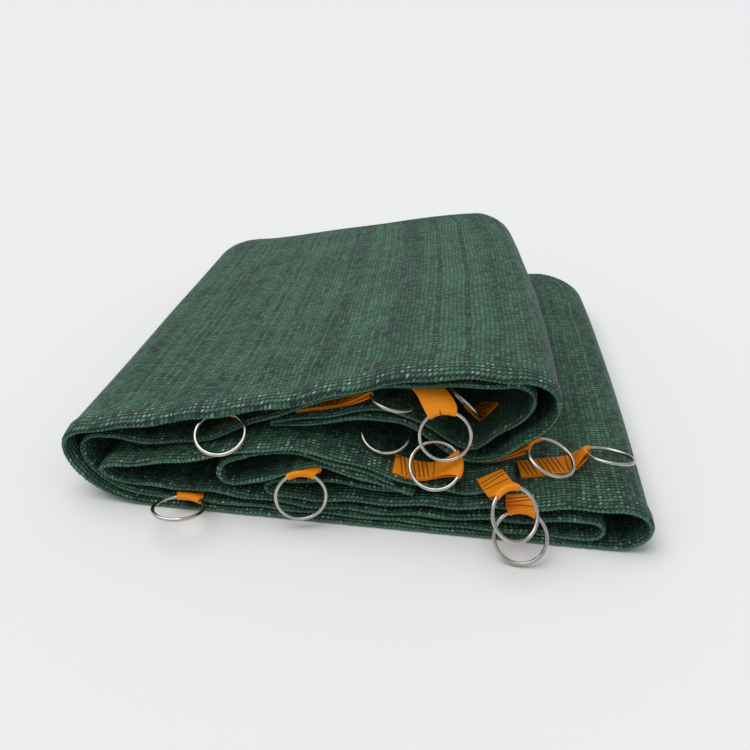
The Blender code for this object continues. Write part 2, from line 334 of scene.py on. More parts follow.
@dataclass(frozen=True)
class Value:
    """A number or a colour in a node tree, with the sums that the looks are written in.

    The other side of a sum is a plain number or another value, and each sum adds one node.
    """

    tree: NodeTree
    socket: NodeSocket

    def feed(self, node: Node, slot: int, source: object) -> None:
        """Gives a node's socket a plain number or colour, or links another value to it."""
        if isinstance(source, Value):
            self.tree.links.new(source.socket, node.inputs[slot])
        else:
            node.inputs[slot].default_value = source

    def calculate(self, operation: str, other: object = 0.0) -> "Value":
        """Adds one sum of this number and another."""
        node = add_node(self.tree, "ShaderNodeMath", {"operation": operation}, None, {0: self.socket})
        self.feed(node, 1, other)
        return Value(self.tree, node.outputs[0])

    def __add__(self, other: object) -> "Value":
        return self.calculate("ADD", other)

    def __sub__(self, other: object) -> "Value":
        return self.calculate("SUBTRACT", other)

    def __mul__(self, other: object) -> "Value":
        return self.calculate("MULTIPLY", other)

    def __abs__(self) -> "Value":
        return self.calculate("ABSOLUTE")

    def falloff(self, none: float, full: float) -> "Value":
        """Falls smoothly from 1 where this number is at full to 0 where it is at none."""
        node = add_node(
            self.tree, "ShaderNodeMapRange", {"interpolation_type": "SMOOTHSTEP"},
            {"From Min": none, "From Max": full}, {"Value": self.socket},
        )
        return Value(self.tree, node.outputs[0])

    def stretch(self, start: float, end: float, low: float, high: float) -> "Value":
        """Turns start to end into low to high, and keeps to that range."""
        node = add_node(
            self.tree, "ShaderNodeMapRange", None,
            {"From Min": start, "From Max": end, "To Min": low, "To Max": high}, {"Value": self.socket},
        )
        return Value(self.tree, node.outputs[0])

    def choose(self, first: object, second: object) -> "Value":
        """Mixes two colours, with this number as the second one's share."""
        node = add_node(self.tree, "ShaderNodeMix", {"data_type": "RGBA"}, None, {"Factor": self.socket})
        self.feed(node, 6, first)
        self.feed(node, 7, second)
        return Value(self.tree, node.outputs[2])


def parts_of(tree: NodeTree, vector: NodeSocket) -> list[Value]:
    """Splits a vector or a colour into its three numbers."""
    node = add_node(tree, "ShaderNodeSeparateXYZ", None, None, {0: vector})
    return [Value(tree, socket) for socket in node.outputs]


def noise(
    tree: NodeTree, place: NodeSocket, scale: float, detail: float, rough: float = 0.5
) -> tuple[Value, NodeSocket]:
    """Adds soft noise over a place, and gives it as one number and as a colour."""
    node = add_node(
        tree, "ShaderNodeTexNoise", None, {"Scale": scale, "Detail": detail, "Roughness": rough},
        {"Vector": place},
    )
    return Value(tree, node.outputs["Fac"]), node.outputs["Color"]


def map_in_millimetres(tree: NodeTree, name: str, shift: float = 0.0) -> NodeSocket:
    """Reads a sheet's own map, whose unit is a metre, in millimetres, shifted across by some."""
    place = add_node(tree, "ShaderNodeUVMap", {"uv_map": name})
    scaled = add_node(
        tree, "ShaderNodeMapping", None, {"Scale": (1 / MM, 1 / MM, 1 / MM), "Location": (0, shift, 0)},
        {"Vector": place.outputs[0]},
    )
    return scaled.outputs[0]


@dataclass(frozen=True)
class Look:
    """A new material while it is being made."""

    made: Material

    @classmethod
    def start(cls, name: str) -> "Look":
        """Starts a material with a node tree and its shader."""
        made = bpy.data.materials.new(name)
        made.use_nodes = True
        return cls(made)

    @property
    def tree(self) -> NodeTree:
        """The material's node tree."""
        return self.made.node_tree

    def object_place(self) -> NodeSocket:
        """The place on the object, in metres."""
        return add_node(self.tree, "ShaderNodeTexCoord").outputs["Object"]

    def set(self, **inputs: object) -> None:
        """Sets the shader's inputs, whose names are written with underscores, to numbers or values."""
        shader = self.tree.nodes["Principled BSDF"]
        for name, source in inputs.items():
            socket = shader.inputs[name.replace("_", " ")]
            if isinstance(source, Value):
                self.tree.links.new(source.socket, socket)
            else:
                socket.default_value = source

    def relief(self, height: Value, strength: float, depth: float) -> None:
        """Raises the surface by a height from 0 to 1, whose full depth is in millimetres."""
        bump = add_node(
            self.tree, "ShaderNodeBump", None, {"Strength": strength, "Distance": depth * MM},
            {"Height": height.socket},
        )
        self.set(Normal=Value(self.tree, bump.outputs[0]))


@dataclass(frozen=True)
class KnittedNet:
    """Knitted polyethylene tape, as in shade net: deep green rows of stitches, with small glints.

    Rows of stitches run along the fold, and in each row slanting dashes of tape stand between gaps
    painted dark, as shade in the openings. The glints are painted highlights in the base colour, and
    the band along the front edge has lighter gaps and more glints, as painted light on the fronts.
    The dashes line up from row to row, so that the eye sees rows from near and paler columns from
    afar. Lengths are in millimetres. The heights and widths are shares of a stitch on each side of
    its middle: where a dash or glint has ended, then where it is full.
    """

    name: str = "knitted_polyethylene_net"
    tape: str = "#578a6f"
    shaded_tape: str = "#1d3a2c"
    # The two gap colours are painted shade in the openings between stitches: the first for the band along
    # the front edge, lighter and greyer there as painted light on the fronts, the second for the rest.
    gap_shade: str = "#1c2726"
    plain_gap_shade: str = "#12231b"
    # The glint colour is a painted highlight, mixed into the base colour.
    painted_glint: str = "#b4d2c2"
    stitch: float = 3.2
    row: float = 2.8
    slant: float = 0.38
    warp: float = 5.0
    shake: float = 1.2
    dash_height: tuple[float, float] = (0.50, 0.20)
    dash_width: tuple[float, float] = (0.64, 0.30)
    glint_height: tuple[float, float] = (0.36, 0.08)
    glint_width: tuple[float, float] = (0.34, 0.05)
    fuzz: float = 0.45
    own_shade: float = 0.6
    column_shade: float = 0.4
    patch_shade: float = 0.9
    middle_shade: float = 0.52
    # The band along the front edge, in millimetres back from it (none, full), where painted light goes:
    # lighter gaps and more glints.
    lit_front_band: tuple[float, float] = (28.8, 10.8)
    edge_thinning: float = 0.02
    glint_share: float = 0.24
    plain_glints: float = 0.2
    edge_glints: float = 0.7
    relief: float = 0.7
    roughness: float = 0.5
    glint_shine: float = 0.25

    def build(self) -> Material:
        """Builds the material; each stitch draws its own shade, glint and height from its number."""
        look = Look.start(self.name)
        tree = look.tree
        flat = map_in_millimetres(tree, "cloth", self.row / 2)
        number, inside = self.cells(tree, flat)
        own = add_node(
            tree, "ShaderNodeTexWhiteNoise", {"noise_dimensions": "2D"}, None, {"Vector": number}
        )
        shade_draw, glint_draw, height_draw = parts_of(tree, own.outputs["Color"])
        column = add_node(
            tree, "ShaderNodeTexWhiteNoise", {"noise_dimensions": "1D"}, None,
            {"W": parts_of(tree, number)[0].socket},
        )
        fuzz = (noise(tree, flat, 1.1, 3.0, 0.7)[0] - 0.5) * self.fuzz
        patches = noise(tree, flat, 0.03, 3.0, 0.6)[0]
        # 1 near the front edge and fading to 0 further back: this band thins the dashes a little and takes
        # lighter gaps and more glints, as painted light on the fronts of the folds.
        edge = (parts_of(tree, flat)[1] - self.row / 2).falloff(*self.lit_front_band)
        across, up, _ = parts_of(tree, inside)
        aside = across - 0.5
        rise = abs(up - 0.5 + aside * self.slant)
        aside = abs(aside)
        thin = fuzz + edge * self.edge_thinning
        dash = (rise + thin).falloff(*self.dash_height) * (aside + thin).falloff(*self.dash_width)
        shade = shade_draw * self.own_shade + Value(tree, column.outputs[0]) * self.column_shade
        shade = shade + patches * self.patch_shade - self.middle_shade + fuzz
        # Painted highlights: a share of the stitches gets a pale glint colour near its middle, more of
        # them in the front band, and its roughness is lowered there too.
        glints = glint_draw.stretch(1 - self.glint_share, 1.0, 0.0, 0.9)
        glints = glints * (edge * self.edge_glints + self.plain_glints)
        glints = glints * rise.falloff(*self.glint_height) * aside.falloff(*self.glint_width)
        # Painted shade: the openings between the dashes take a dark colour, lighter and greyer in the
        # front band as painted light on the fronts.
        gap_shade = edge.choose(linear(self.plain_gap_shade), linear(self.gap_shade))
        tape = shade.choose(linear(self.shaded_tape), linear(self.tape))
        tape = glints.choose(tape, linear(self.painted_glint))
        look.relief(dash * (height_draw * 0.35 + 0.65), 0.9, self.relief)
        look.set(
            Base_Color=dash.choose(gap_shade, tape), Roughness=glints * -self.glint_shine + self.roughness,
            IOR=1.51, Specular_IOR_Level=0.28,
        )
        return look.made

    def cells(
        self, tree: NodeTree, flat: NodeSocket
    ) -> tuple[NodeSocket, NodeSocket]:
        """Splits the cloth into stitches: each one's whole number, and the place inside it.

        Wide noise bends the rows, and fine noise shakes the stitches out of line.
        """
        place = flat
        for push, scale in ((self.warp, 0.03), (self.shake, 0.25)):
            pushed = add_node(
                tree, "ShaderNodeVectorMath", {"operation": "MULTIPLY_ADD"}, {1: (push, push, 0)},
                {0: noise(tree, flat, scale, 1.0)[1], 2: place},
            )
            place = pushed.outputs[0]
        size = (self.stitch, self.row, 1)
        cells = add_node(tree, "ShaderNodeVectorMath", {"operation": "DIVIDE"}, {1: size}, {0: place})
        number, inside = (
            add_node(tree, "ShaderNodeVectorMath", {"operation": step}, None, {0: cells.outputs[0]})
            for step in ("FLOOR", "FRACTION")
        )
        return number.outputs[0], inside.outputs[0]


@dataclass(frozen=True)
class PolishedWire:
    """Drawn and welded steel wire, nickel plated: bright, with faint marks along the wire."""

    name: str = "drawn_steel_wire"
    colour: str = "#c6c4bd"
    worn: str = "#8f8c85"
    roughness: float = 0.16
    marks_scale: float = 160.0

    def build(self) -> Material:
        """Builds the material, with marks 6 mm apart from noise on the object's own place."""
        look = Look.start(self.name)
        marks = noise(look.tree, look.object_place(), self.marks_scale, 2.0)[0]
        colour = marks.stretch(0.4, 0.75, 0.0, 0.5).choose(linear(self.colour), linear(self.worn))
        rough = marks.stretch(0.0, 1.0, self.roughness, self.roughness + 0.1)
        look.set(Base_Color=colour, Roughness=rough, Metallic=1.0)
        return look.made


@dataclass(frozen=True)
class WovenTape:
    """Woven polyester webbing: bright orange, with a fine rib across it and duller patches."""

    name: str = "woven_polyester_webbing"
    colour: str = "#ff9a16"
    shaded: str = "#d0690a"
    rib: float = 1.3
    rib_shade: float = 0.35
    patch_darkening: float = 0.35
    roughness: float = 0.6

    def build(self) -> Material:
        """Builds the material from the tape's own map."""
        look = Look.start(self.name)
        flat = map_in_millimetres(look.tree, "tape")
        brick = add_node(
            look.tree, "ShaderNodeTexBrick", {"offset": 0.5},
            {
                "Color1": (1, 1, 1, 1), "Color2": (0.6, 0.6, 0.6, 1), "Mortar": (0, 0, 0, 1), "Scale": 1.0,
                "Mortar Size": 0.12, "Mortar Smooth": 1.0, "Bias": 0.0,
                "Brick Width": self.rib, "Row Height": self.rib * 0.5,
            },
            {"Vector": flat},
        )
        furrow = Value(look.tree, brick.outputs["Fac"])
        # The furrows between the ribs are painted darker, as shade in the weave's recesses; soft noise
        # also darkens random patches.
        shade = furrow * self.rib_shade + noise(look.tree, flat, 0.2, 3.0)[0] * self.patch_darkening
        look.relief(furrow * -1.0 + 1.0, 0.5, 0.15)
        look.set(
            Base_Color=shade.choose(linear(self.colour), linear(self.shaded)),
            Roughness=self.roughness, Specular_IOR_Level=0.2,
        )
        return look.made


@dataclass(frozen=True)
class Yarn:
    """Matt and twisted thread; brown sewing thread, unless it is told otherwise."""

    name: str = "brown_sewing_thread"
    colour: str = "#3b2114"
    twist: float = 0.5
    roughness: float = 0.75

    def build(self) -> Material:
        """Builds the material, with a fine twist from noise on the object's own place."""
        look = Look.start(self.name)
        fibres = noise(look.tree, look.object_place(), 1 / (self.twist * MM), 2.0)[0]
        look.relief(fibres, 0.4, 0.1)
        look.set(Base_Color=linear(self.colour), Roughness=self.roughness)
        return look.made


@dataclass(frozen=True)
class PaleTable:
    """The plain pale and matt surface under the bundle."""

    name: str = "pale_table"
    colour: str = "#ededed"

    def build(self) -> Material:
        """Builds the material."""
        look = Look.start(self.name)
        look.set(Base_Color=linear(self.colour), Roughness=0.9, Specular_IOR_Level=0.1)
        return look.made


def finish_piece(piece: Object, slot: str, *nodes: str) -> Object:
    """Lets a piece ride on the one body and stand for its nodes, which it hides."""
    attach(piece, "root")
    if nodes:
        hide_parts(*nodes)
    log.info("%s: %d faces", piece.name, len(piece.data.polygons))
    return piece


def smooth_object(name: str, mesh: Mesh, finish: Material, angle: float) -> Object:
    """Puts a mesh in the scene, shaded smooth up to an angle in degrees."""
    mesh.shade_smooth()
    mesh.set_sharp_from_angle(angle=math.radians(angle))
    mesh.materials.clear()
    mesh.materials.append(finish)
    made = bpy.data.objects.new(name, mesh)
    bpy.context.scene.collection.objects.link(made)
    return made


def table_points(piece: Object) -> np.ndarray:
    """Reads a piece's points back into table millimetres."""
    points = np.empty(len(piece.data.vertices) * 3)
    piece.data.vertices.foreach_get("co", points)
    return points.reshape(-1, 3) / MM + np.array([MIDDLE[0], MIDDLE[1], 0.0])


def grid_normals(grid: np.ndarray) -> np.ndarray:
    """Works out the normal at each point of a grid of points, rows by columns by 3."""
    down = np.gradient(grid, axis=0)
    across = np.gradient(grid, axis=1)
    normal = np.cross(across, down)
    return normal / (np.linalg.norm(normal, axis=2, keepdims=True) + 1e-12)


def thick_sheet(
    name: str, grid: np.ndarray, half: np.ndarray, map_name: str, flat_u: np.ndarray, flat_v: np.ndarray
) -> Mesh:
    """Makes a closed sheet from its middle surface, in metres and facing outwards.

    The grid holds the surface's points, rows by columns by 3, in table millimetres. half is half
    the thickness at each of them, and flat_u and flat_v are its place on the flat cloth in metres.
    """
    rows, columns = grid.shape[:2]
    normal = grid_normals(grid)
    upper = grid + normal * half[..., None]
    lower = grid - normal * half[..., None]
    upper[..., 2] = np.maximum(upper[..., 2], 0.0)
    lower[..., 2] = np.maximum(lower[..., 2], 0.0)
    points = np.concatenate([upper.reshape(-1, 3), lower.reshape(-1, 3)])
    flats = np.stack([flat_u, flat_v], axis=2).reshape(-1, 2)
    count = rows * columns
    number = np.arange(count).reshape(rows, columns)
    near, right = number[:-1, :-1].ravel(), number[:-1, 1:].ravel()
    far, far_right = number[1:, :-1].ravel(), number[1:, 1:].ravel()
    top = np.stack([near, right, far_right, far], axis=1)
    bottom = np.stack([near, far, far_right, right], axis=1) + count
    rim = np.concatenate([number[0, :], number[1:, -1], number[-1, -2::-1], number[-2:0:-1, 0]])
    following = np.roll(rim, -1)
    wall = np.stack([rim, rim + count, following + count, following], axis=1)
    faces = np.concatenate([top, bottom, wall])
    mesh = bpy.data.meshes.new(name)
    mesh.from_pydata([to_world(point) for point in points], [], faces.tolist())
    layer = mesh.uv_layers.new(name=map_name)
    spots = flats[faces.ravel() % count]
    layer.data.foreach_set("uv", spots.ravel())
    mesh.validate()
    work = bmesh.new()
    work.from_mesh(mesh)
    bmesh.ops.recalc_face_normals(work, faces=work.faces)
    work.to_mesh(mesh)
    work.free()
    return mesh


@dataclass
class StitchRow:
    """A Geometry Nodes tree that sets small stitches along the edges of a mesh.

    The stitches are low round beads drawn out along the row, and pitch, length and width are
    theirs in metres.
    """

    name: str
    finish: Material
    pitch: float
    length: float
    width: float
    sides: int = 6
    rings: int = 4
    unevenness: float = 0.12
    seed: int = 7

    def tree(self) -> NodeTree:
        """Builds the tree: edges to curve, even points, a bead on each, made real."""
        made = bpy.data.node_groups.new(self.name, "GeometryNodeTree")
        made.interface.new_socket("Geometry", in_out="INPUT", socket_type="NodeSocketGeometry")
        for label in ("Pitch", "Length", "Width"):
            made.interface.new_socket(label, in_out="INPUT", socket_type="NodeSocketFloat")
        made.interface.new_socket("Geometry", in_out="OUTPUT", socket_type="NodeSocketGeometry")

        def put(kind: str, links: dict, values: Optional[dict] = None, **settings: object) -> NodeSocket:
            """Adds one geometry node and gives its first output."""
            return add_node(made, kind, settings, values, links).outputs[0]

        start = add_node(made, "NodeGroupInput").outputs
        width = start["Width"]
        curve = put("GeometryNodeMeshToCurve", {"Mesh": start["Geometry"]})
        even = put("GeometryNodeResampleCurve", {"Curve": curve, "Length": start["Pitch"]}, mode="LENGTH")
        ball = {"Segments": self.sides, "Rings": self.rings, "Radius": 0.5}
        bead = put("GeometryNodeMeshUVSphere", {}, ball)
        size = put("ShaderNodeCombineXYZ", {0: width, 1: width, 2: start["Length"]})
        bead = put("GeometryNodeTransform", {"Geometry": bead, "Scale": size})
        bead = put("GeometryNodeSetShadeSmooth", {"Geometry": bead})
        along = put("GeometryNodeInputTangent", {})
        turn = put("FunctionNodeAlignRotationToVector", {"Vector": along}, axis="Z")
        spread = add_node(
            made, "FunctionNodeRandomValue", {"data_type": "FLOAT"},
            {2: 1.0 - self.unevenness, 3: 1.0 + self.unevenness, "Seed": self.seed},
        )
        placing = {"Points": even, "Instance": bead, "Rotation": turn, "Scale": spread.outputs[1]}
        beads = put("GeometryNodeInstanceOnPoints", placing)
        beads = put("GeometryNodeRealizeInstances", {"Geometry": beads})
        beads = put("GeometryNodeSetMaterial", {"Geometry": beads}, {"Material": self.finish})
        add_node(made, "NodeGroupOutput", None, None, {"Geometry": beads})
        return made

    def build(self, name: str, lines: Iterable[Sequence[np.ndarray]]) -> Object:
        """Sews stitches along lines of points in table millimetres, as one plain mesh object."""
        points: list[tuple[float, float, float]] = []
        edges: list[tuple[int, int]] = []
        for line in lines:
            first = len(points)
            points.extend(to_world(point) for point in line)
            edges.extend((number, number + 1) for number in range(first, len(points) - 1))
        guide = bpy.data.meshes.new(name + "_guide")
        guide.from_pydata(points, edges, [])
        carrier = bpy.data.objects.new(name + "_guide", guide)
        bpy.context.scene.collection.objects.link(carrier)
        modifier = carrier.modifiers.new("stitches", "NODES")
        modifier.node_group = self.tree()
        sizes = {"Pitch": self.pitch, "Length": self.length, "Width": self.width}
        for item in modifier.node_group.interface.items_tree:
            if item.item_type == "SOCKET" and item.in_out == "INPUT" and item.name in sizes:
                modifier[item.identifier] = sizes[item.name]
        graph = bpy.context.evaluated_depsgraph_get()
        mesh = bpy.data.meshes.new_from_object(carrier.evaluated_get(graph), depsgraph=graph)
        mesh.name = name
        carrier.modifiers.remove(modifier)
        bpy.data.objects.remove(carrier, do_unlink=True)
        return smooth_object(name, mesh, self.finish, 80.0)


@dataclass
class FoldedNet:
    """The one sheet of cloth, folded back and forth in twelve layers, each joined by a round nose."""

    finish: Material
    depth: float = 385.0
    thickness: float = 1.9
    hem_thickness: float = 4.2
    hem: float = 18.0
    hem_fade: float = 6.0
    hem_gap: float = 0.3
    turn_length: float = 14.0
    wave: float = 1.3
    wave_length: float = 47.0
    lip_reach: float = 12.0
    column: float = 6.0
    nose_steps: int = 16
    nose_tries: int = 6
    nose_samples: int = 25
    ripple: float = 0.3
    ripple_x: float = 23.0
    ripple_y: float = 31.0
    thinnest_edge: float = 0.25
    stations: tuple[float, ...] = field(
        default_factory=lambda: tuple(
            [0.0, 0.3, 0.9, 1.8, 3.0, 5.0, 7.5, 10.5, 13.5, 16.5, 17.6, 20.0, 24.0]
            + list(np.linspace(31.0, 355.0, 42))
            + [361.0, 367.0, 372.0, 376.5, 380.0, 382.5, 384.0, 384.7, 385.0]
        )
    )

    def side_shift(self, side: str, depth: float) -> float:
        """How far a side has moved inwards at this depth."""
        rule = SIDES[side]
        shift = rule.taper * (depth / self.depth) ** rule.power
        into_corner = max(0.0, (depth - (self.depth - rule.corner_y)) / rule.corner_y)
        shift += rule.corner_x * (1 - math.sqrt(max(0.0, 1 - into_corner**2)))
        return shift if side == "left" else -shift

    def ends(self, index: int, depth: float) -> tuple[float, float]:
        """Where a layer's two ends lie at this depth, by the outlines that they keep to."""
        row = LAYERS[index]
        first = NOSES[index - 1].side if index > 0 else "inside"
        last = NOSES[index].side if index < len(NOSES) else "inside"
        return row.x0 + self.side_shift(first, depth), row.x1 + self.side_shift(last, depth)

    def crease_drop(self, row: Layer, x: float, y: float) -> float:
        """How far the creases press a layer down at a point."""
        drop = 0.0
        for crease in CREASES:
            if crease.layer != row.name:
                continue
            heading = math.radians(crease.heading)
            along = (x - crease.x) * math.cos(heading) + (y - crease.y) * math.sin(heading)
            aside = (y - crease.y) * math.cos(heading) - (x - crease.x) * math.sin(heading)
            fade = math.exp(-((2 * along / crease.length) ** 4))
            drop += crease.depth * fade * math.exp(-((aside / crease.width) ** 2))
        return drop

    def layer_point(self, index: int, place: float, depth_share: float) -> np.ndarray:
        """Finds a point on the middle of a layer's cloth, in table millimetres.

        The place runs from 0 to 1 along the layer, and the share from its front edge to its back.
        """
        row = LAYERS[index]
        draw = row.draw[0] + (row.draw[1] - row.draw[0]) * place
        along = row.x0 + (row.x1 - row.x0) * place
        if draw > 0:
            swing = math.sin(along / self.wave_length * math.tau + 1.7 * index)
            draw += self.wave * swing * min(1.0, draw / 6)
        depth = draw + (self.depth - draw) * depth_share
        x0, x1 = self.ends(index, depth)
        blend = depth_share * depth_share * (3 - 2 * depth_share)
        height = catmull(row.front, place) * (1 - blend) + catmull(row.back, place) * blend
        from_edge = (depth - draw) / self.lip_reach
        if from_edge < 1:
            height -= row.lip * (1 - from_edge) ** 2
        x = x0 + (x1 - x0) * place
        if row.name != "floor":
            inwards = math.sin(math.pi * place) ** 0.5
            height -= self.crease_drop(row, x, depth) * inwards
            swell = math.sin(x / self.ripple_x + 2.1 * index) * math.cos(depth / self.ripple_y + index)
            height += self.ripple * inwards * swell
        return np.array([x, depth, height])

    def nose_points(self, index: int, depth_share: float) -> list[np.ndarray]:
        """Works out a nose without its two ends: a curve whose handles take it to its reach."""
        nose = NOSES[index]
        start = self.layer_point(index, 1.0, depth_share)
        end = self.layer_point(index + 1, 0.0, depth_share)
        leaving = start - self.layer_point(index, 0.98, depth_share)
        joining = end - self.layer_point(index + 1, 0.02, depth_share)
        leaving[1] = 0.0
        joining[1] = 0.0
        leaving, joining = unit(leaving), unit(joining)
        middle = (start[0] + end[0]) / 2
        reach = nose.reach + self.side_shift(nose.side, (start[1] + end[1]) / 2)
        handle = abs(reach - middle)
        parts = np.linspace(0.0, 1.0, self.nose_samples)[:, None]
        for _ in range(self.nose_tries):
            curve = bend(start, start + leaving * handle, end + joining * handle, end, parts)
            furthest = curve[np.argmax(np.abs(curve[:, 0] - middle)), 0]
            handle *= (reach - middle) / (furthest - middle)
        first, second = start + leaving * handle, end + joining * handle
        steps = range(1, self.nose_steps)
        return [bend(start, first, second, end, step / self.nose_steps) for step in steps]

    def section(self, depth_share: float) -> list[np.ndarray]:
        """The whole back-and-forth line of the cloth at one depth."""
        points: list[np.ndarray] = []
        for index, row in enumerate(LAYERS):
            steps = round(abs(row.x1 - row.x0) / self.column)
            points.extend(self.layer_point(index, step / steps, depth_share) for step in range(steps + 1))
            if index < len(NOSES):
                points.extend(self.nose_points(index, depth_share))
        return points

    def height_at(self, layer: str, x: float, y: float) -> tuple[np.ndarray, np.ndarray]:
        """Finds the middle of a layer's cloth over a place, and the way up from it."""
        index = [row.name for row in LAYERS].index(layer)
        row = LAYERS[index]

        def height(at_x: float, at_y: float) -> float:
            """The height of the cloth's middle over one place."""
            x0, x1 = self.ends(index, at_y)
            place = (at_x - x0) / (x1 - x0)
            draw = row.draw[0] + (row.draw[1] - row.draw[0]) * place
            share = max(0.0, (at_y - draw) / (self.depth - draw))
            return float(self.layer_point(index, place, share)[2])

        slope_x = height(x + 1, y) - height(x - 1, y)
        slope_y = height(x, y + 1) - height(x, y - 1)
        return np.array([x, y, height(x, y)]), unit(np.array([-slope_x / 2, -slope_y / 2, 1.0]))

    def top_columns(self) -> np.ndarray:
        """A share for each column: 1 over the top layer, fading out at its ends, and 0 elsewhere."""
        shares: list[float] = []
        for index, row in enumerate(LAYERS):
            steps = round(abs(row.x1 - row.x0) / self.column)
            own = 1.0 if row.name == "top" else 0.0
            turns = [math.pi * step / steps for step in range(steps + 1)]
            shares.extend(own * max(0.0, math.sin(turn)) ** 0.5 for turn in turns)
            if index < len(NOSES):
                shares.extend([0.0] * (self.nose_steps - 1))
        return np.array(shares)

    def half_thickness(self, grid: np.ndarray, hardware: np.ndarray) -> np.ndarray:
        """Works out half the cloth's thickness at each point of its middle surface.

        The hem is a doubled cloth, so it is as thick as the room to the next layer, to the tabs
        and to the rings, whose points are the hardware, allows. Both open edges are rounded off.
        """
        half = np.full(grid.shape[:2], self.thickness / 2)
        run = distances(np.linalg.norm(np.diff(grid[0], axis=0), axis=1))
        same_turn = np.abs(run[:, None] - run[None, :]) < self.turn_length
        for number, station in enumerate(self.stations):
            fade = min(1.0, max(0.0, (self.hem - station) / self.hem_fade))
            if fade > 0:
                row = grid[number]
                apart = np.linalg.norm(row[:, None, [0, 2]] - row[None, :, [0, 2]], axis=2)
                apart[same_turn] = np.inf
                near = hardware[hardware[:, 1] < station + self.hem]
                to_hardware = np.linalg.norm(row[:, None] - near[None], axis=2).min(axis=1)
                room = np.minimum(apart.min(axis=1) / 2, to_hardware) - self.hem_gap
                room = np.clip(room, self.thickness / 2, self.hem_thickness / 2)
                room = np.array([room[max(0, spot - 2) : spot + 3].min() for spot in range(len(room))])
                half[number] += (room - self.thickness / 2) * fade
            edge = min(station / self.hem_thickness * 2, (self.depth - station) / self.thickness * 2)
            if edge < 1:
                half[number] *= max(self.thinnest_edge, math.sqrt(1 - (1 - edge) ** 2))
        return half

    def build(self, hardware: np.ndarray) -> tuple[Object, list[np.ndarray], tuple[float, float]]:
        """Builds the sheet, whose hem keeps away from the tabs' and rings' points.

        Returns:
            The piece, the line of its front edge, and its flat width and length in metres.
        """
        shares = [station / self.depth for station in self.stations]
        grid = np.array([self.section(share) for share in shares])
        along = distances(np.linalg.norm(np.diff(grid, axis=1), axis=2).mean(axis=0)) * MM
        across = distances(np.linalg.norm(np.diff(grid, axis=0), axis=2).mean(axis=1)) * MM
        flat_u = np.repeat(along[None, :], len(shares), axis=0)
        flat_v = np.repeat(across[:, None], grid.shape[1], axis=1)
        half = self.half_thickness(grid, hardware)
        grid[..., 2] += (half - self.thickness / 2) * self.top_columns() * (half > self.thickness / 2)
        mesh = thick_sheet("shade_cloth", grid, half, "cloth", flat_u, flat_v)
        piece = smooth_object("shade_cloth", mesh, self.finish, 70.0)
        finish_piece(piece, "green_net", "cloth")
        size = (float(across[-1]), float(along[-1]))
        log.info("flat size %.3f x %.3f m", *size)
        return piece, list(grid[0]), size


@dataclass
class WireRing:
    """A welded ring of round wire."""

    finish: Material
    outside: float = 35.6
    wire: float = 2.5
    weld_swell: float = 0.16
    weld_length: float = 2.2
    around: int = 112
    section: int = 16

    def build(self, place: RingPlace) -> Object:
        """Turns the wire round the ring's axis, and lets it swell where it is welded."""
        centre, level, upward, axis = ring_frame(place)
        radius = (self.outside - self.wire) / 2
        bpy.ops.mesh.primitive_torus_add(
            major_segments=self.around, minor_segments=self.section,
            major_radius=radius * MM, minor_radius=self.wire / 2 * MM,
        )
        blank = bpy.context.object
        mesh = blank.data
        weld = math.radians(place.weld)
        for vertex in mesh.vertices:
            angle = math.atan2(vertex.co.y, vertex.co.x)
            away = abs((angle - weld + math.pi) % math.tau - math.pi) * radius
            swell = self.weld_swell * math.exp(-((away / self.weld_length) ** 2))
            core = Vector((math.cos(angle) * radius * MM, math.sin(angle) * radius * MM, 0.0))
            vertex.co = core + (vertex.co - core) * (1 + swell)
        turned = Matrix((level, upward, axis)).transposed().to_4x4()
        mesh.transform(Matrix.Translation(to_world(centre)) @ turned)
        bpy.data.objects.remove(blank, do_unlink=True)
        piece = smooth_object("wire_" + place.name, mesh, self.finish, 60.0)
        return finish_piece(piece, "ring_steel", place.name)


